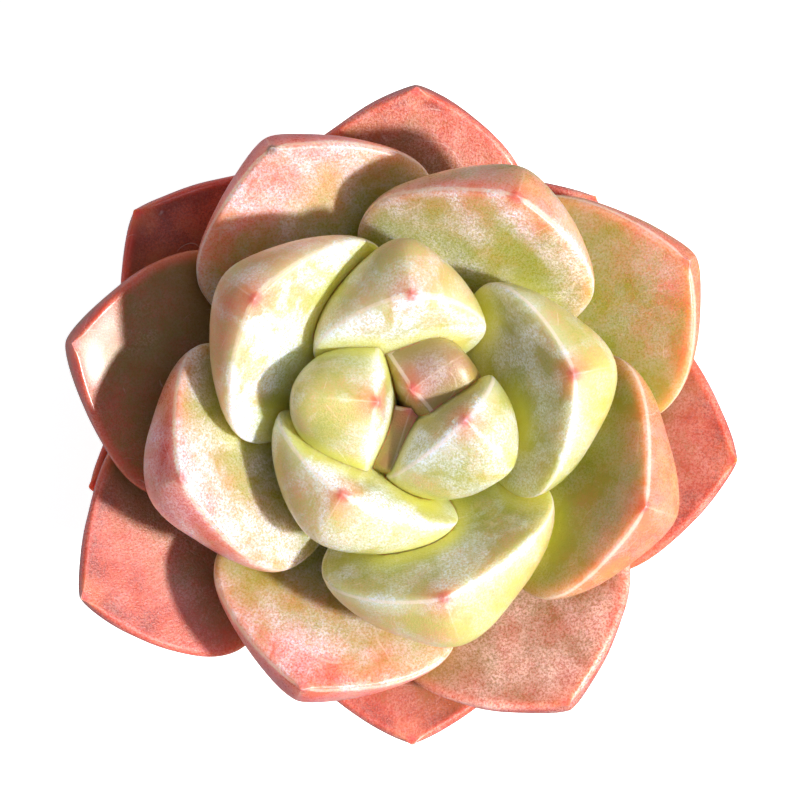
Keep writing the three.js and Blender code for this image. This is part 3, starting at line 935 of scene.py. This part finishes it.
# The middle leaves: six broader leaves round the bud, opened out and rooted lower on the
# stem. They are the same waxy flesh, turned peach by more sun, with red drawn into the
# tips and margins, and the wax on them is thinner.
middle_skin = waxy_skin(
    "waxed_peach_leaf_skin",
    flesh=["#A0A02A", "#BC9A3A", "#989E1C", "#DED656"],
    flushed=["#D68A4C", "#E66E4C", "#D8442F"],
    rim_tint="#F27E5E", rim_strength=0.6, wax_and_sheen_tint="#F8EEF6", line=0.4, soft=0.12,
    cover=8.0, gloss=0.26, coat_blur=0.35, glow_depth=0.006)
middle_leaves = [
    (10, 69, 5.2, 31.5, 28.0, 7.5, 30, 24, 0.8, -2.7, 0, 0, 0.34, 0.60),
    (11, 200, 5.9, 30.5, 28.0, 8.5, 31, 24, 0.8, -2.0, -0.08, 0, 0.66, 0.92),
    (12, 341, 6.6, 32.0, 29.5, 8.5, 27, 26, 0.6, -1.0, 0, 0, 0.48, 0.25),
    (13, 117, 7.3, 33.8, 30.0, 7.0, 19, 18, 0.2, 0, 0, 0, 0.78, 0.40),
    (14, 249, 8.0, 32.9, 30.0, 7.5, 17, 20, 0.2, 0, 0, 0, 0.74, 0.45),
    (15, 31, 8.7, 35.6, 29.5, 7.5, 15, 18, -0.4, -1.6, 0, 0, 0.44, 0.20),
]
for row in middle_leaves:
    grow_leaf(Leaf(*row), middle_skin)


# The outer leaves: nine grown leaves, rooted lowest on the stem, that lie almost level.
# Sun has flushed their olive flesh coral to dark red, and rain and handling have taken
# off most of their wax, so they are the glossiest.
outer_skin = waxy_skin(
    "sun_reddened_leaf_skin",
    flesh=["#8E7A30", "#9C6C34", "#906C30", "#B07C38"],
    flushed=["#B8603A", "#CC4E38", "#962C20"],
    rim_tint="#E64E38", rim_strength=0.7, wax_and_sheen_tint="#FFD6CC", line=0.0, soft=0.2,
    cover=6.0, gloss=0.24, coat_blur=0.25, glow_depth=0.003)
# Leaves 16, 21 and 24, on the side away from the main lamp, have the least bloom, and 16 less blush,
# so they stay dark and olive brown: painted shade on top of their own colour.
outer_leaves = [
    (16, 168, 9.4, 37.9, 29.5, 7.5, 14, 17, -0.4, 0, 0.05, 0, 0.40, 0.12),
    (17, 299, 10.1, 36.4, 30.0, 7.5, 11, 17, -0.4, 0, 0, 0, 0.58, 0.55),
    (18, 91, 10.8, 35.4, 30.0, 7.0, 9, 17, -0.6, -1.8, 0.06, 0, 0.74, 0.30),
    (19, 203, 11.5, 40.7, 31.0, 7.0, 7, 18, -0.6, 5.0, 0.05, 0, 0.90, 0.20),
    (20, 352, 12.2, 35.9, 31.0, 7.0, 5, 16, -0.6, 0, 0, 0, 0.86, 0.25),
    (21, 137, 12.9, 36.4, 31.0, 7.0, 3, 16, -0.6, 4.4, 0, 0, 1.0, 0.05),
    (22, 271, 13.6, 35.4, 30.5, 7.0, 1, 16, -0.6, 0, 0, 0, 0.86, 0.20),
    (23, 49, 14.3, 30.4, 28.0, 7.0, -1, 16, -0.6, 0, 0, 0, 0.95, 0.30),
    (24, 193, 15.0, 34.9, 27.0, 7.0, -2, 16, -0.6, 0, 0, 0, 1.0, 0.02),
]
for row in outer_leaves:
    grow_leaf(Leaf(*row), outer_skin)
for room in rooms:
    bpy.data.objects.remove(room)

# Skin under another leaf is painted darker, as painted shade, and skin in a crevice is painted
# brighter, as a painted glow for light through the flesh and between leaves. So each point keeps two
# distances in millimetres, up to a limit: to the nearest leaf that was fitted before its own and lies
# over it, and to the nearest leaf of all.
COVER_REACH = 0.008
CREVICE_REACH = 0.003
surfaces = []
for piece in leaves_in_place:
    points = vertex_rows(piece.data, "co")
    polygons = [list(polygon.vertices) for polygon in piece.data.polygons]
    surface = BVHTree.FromPolygons(points.tolist(), polygons)
    surfaces.append((surface, points.min(axis=0), points.max(axis=0)))

for i, piece in enumerate(leaves_in_place):
    points = vertex_rows(piece.data, "co")
    cover_shade_distance = np.full(len(points), COVER_REACH)
    crevice = np.full(len(points), CREVICE_REACH)
    for j, (surface, low, high) in enumerate(surfaces):
        if i == j:
            continue
        lies_over = j < i
        reach = COVER_REACH if lies_over else CREVICE_REACH
        near = ((points > low - reach) & (points < high + reach)).all(axis=1)
        for k in np.flatnonzero(near):
            away = surface.find_nearest(points[k], reach)[3]
            if away is None:
                continue
            crevice[k] = min(crevice[k], away)
            if lies_over:
                cover_shade_distance[k] = min(cover_shade_distance[k], away)
    keep_fact(piece.data, "cover_shade_distance", cover_shade_distance * 1000)
    keep_fact(piece.data, "crevice", crevice * 1000)


# The studio: a pale table that glows a little, so that the plant's shadow stays light,
# a main lamp low on the right as in the photograph, a broad soft one overhead, and
# the camera straight above the plant.
FLOOR_RADIUS = 1.6
FLOOR_SIDES = 64
TABLE_GLOW = 0.8
PAPER_TOOTH = 0.0011
# White paper: matt and faintly toothed, so it shows no shine of its own.
paper, tree = new_material("white_paper_table")
place = add_node(tree, "ShaderNodeTexCoord", {}).outputs["Object"]
tooth = add_node(tree, "ShaderNodeTexNoise", {"Vector": place, "Scale": 1 / PAPER_TOOTH})
tooth_bump = add_node(tree, "ShaderNodeBump", {
    "Height": tooth.outputs[0], "Strength": 0.1, "Distance": 0.0001})
paper_shader = add_node(tree, "ShaderNodeBsdfPrincipled", {
    "Base Color": colour("#F4F3F0"), "Roughness": 0.9, "Normal": tooth_bump.outputs[0],
    "Emission Color": colour("#FFFFFF"), "Emission Strength": TABLE_GLOW})
add_node(tree, "ShaderNodeOutputMaterial", {"Surface": paper_shader.outputs[0]})
floor_points = [(0, 0, 0)]
for i in range(FLOOR_SIDES):
    angle = i / FLOOR_SIDES * math.tau
    floor_points.append((FLOOR_RADIUS * math.cos(angle), FLOOR_RADIUS * math.sin(angle), 0))
floor_faces = [(0, i + 1, (i + 1) % FLOOR_SIDES + 1) for i in range(FLOOR_SIDES)]
floor_mesh = bpy.data.meshes.new("table")
floor_mesh.from_pydata(floor_points, [], floor_faces)
floor_mesh.materials.append(paper)
floor = bpy.data.objects.new("table", floor_mesh)
bpy.context.scene.collection.objects.link(floor)
# Its glare is kept out of the gloss of the leaves.
floor.visible_glossy = False

SKY_STRENGTH = 0.25
world = bpy.data.worlds.new("soft_room")
bpy.context.scene.world = world
world.use_nodes = True
sky = world.node_tree.nodes["Background"]
sky.inputs["Color"].default_value = colour("#E2EDFA")
sky.inputs["Strength"].default_value = SKY_STRENGTH

# Each lamp's azimuth, elevation, distance from the rosette, size, power and tint.
LAMPS_AIM_AT = Vector((0, 0, 0.08))
lamps = [
    ("main_lamp", -20, 44, 0.62, 0.05, 7.0, "#FFFCF8"),
    ("overhead_lamp", 20, 74, 0.7, 0.4, 0.7, "#E6F0FF"),
]
for name, azimuth, elevation, distance, size, power, tint in lamps:
    lamp = bpy.data.lights.new(name, "AREA")
    lamp.shape = "DISK"
    lamp.size = size
    lamp.energy = power
    lamp.color = colour(tint)[:3]
    stand = bpy.data.objects.new(name, lamp)
    bpy.context.scene.collection.objects.link(stand)
    level = math.cos(math.radians(elevation))
    aim = Vector((
        level * math.cos(math.radians(azimuth)),
        level * math.sin(math.radians(azimuth)),
        math.sin(math.radians(elevation))))
    stand.location = LAMPS_AIM_AT + aim * distance
    stand.rotation_euler = aim.to_track_quat("Z", "Y").to_euler()

# Colours are shown as they are, with no film curve.
bpy.context.scene.view_settings.view_transform = "Standard"

# The camera looks straight down from 0.44 m, a little to the side of the stem, as in the
# photograph. Its lens fits the plant's 80 mm to the 669 of 794 pixels that it takes there.
IMAGE_PIXELS = 794
LENS_PIXELS = 3110
SENSOR_WIDTH = 36
CAMERA_PLACE = (-0.00116, 0.00205, 0.44)
lens = bpy.data.cameras.new("camera")
lens.sensor_width = SENSOR_WIDTH
lens.lens = LENS_PIXELS / IMAGE_PIXELS * SENSOR_WIDTH
camera = bpy.data.objects.new("camera", lens)
camera.location = CAMERA_PLACE
bpy.context.scene.collection.objects.link(camera)
bpy.context.scene.camera = camera
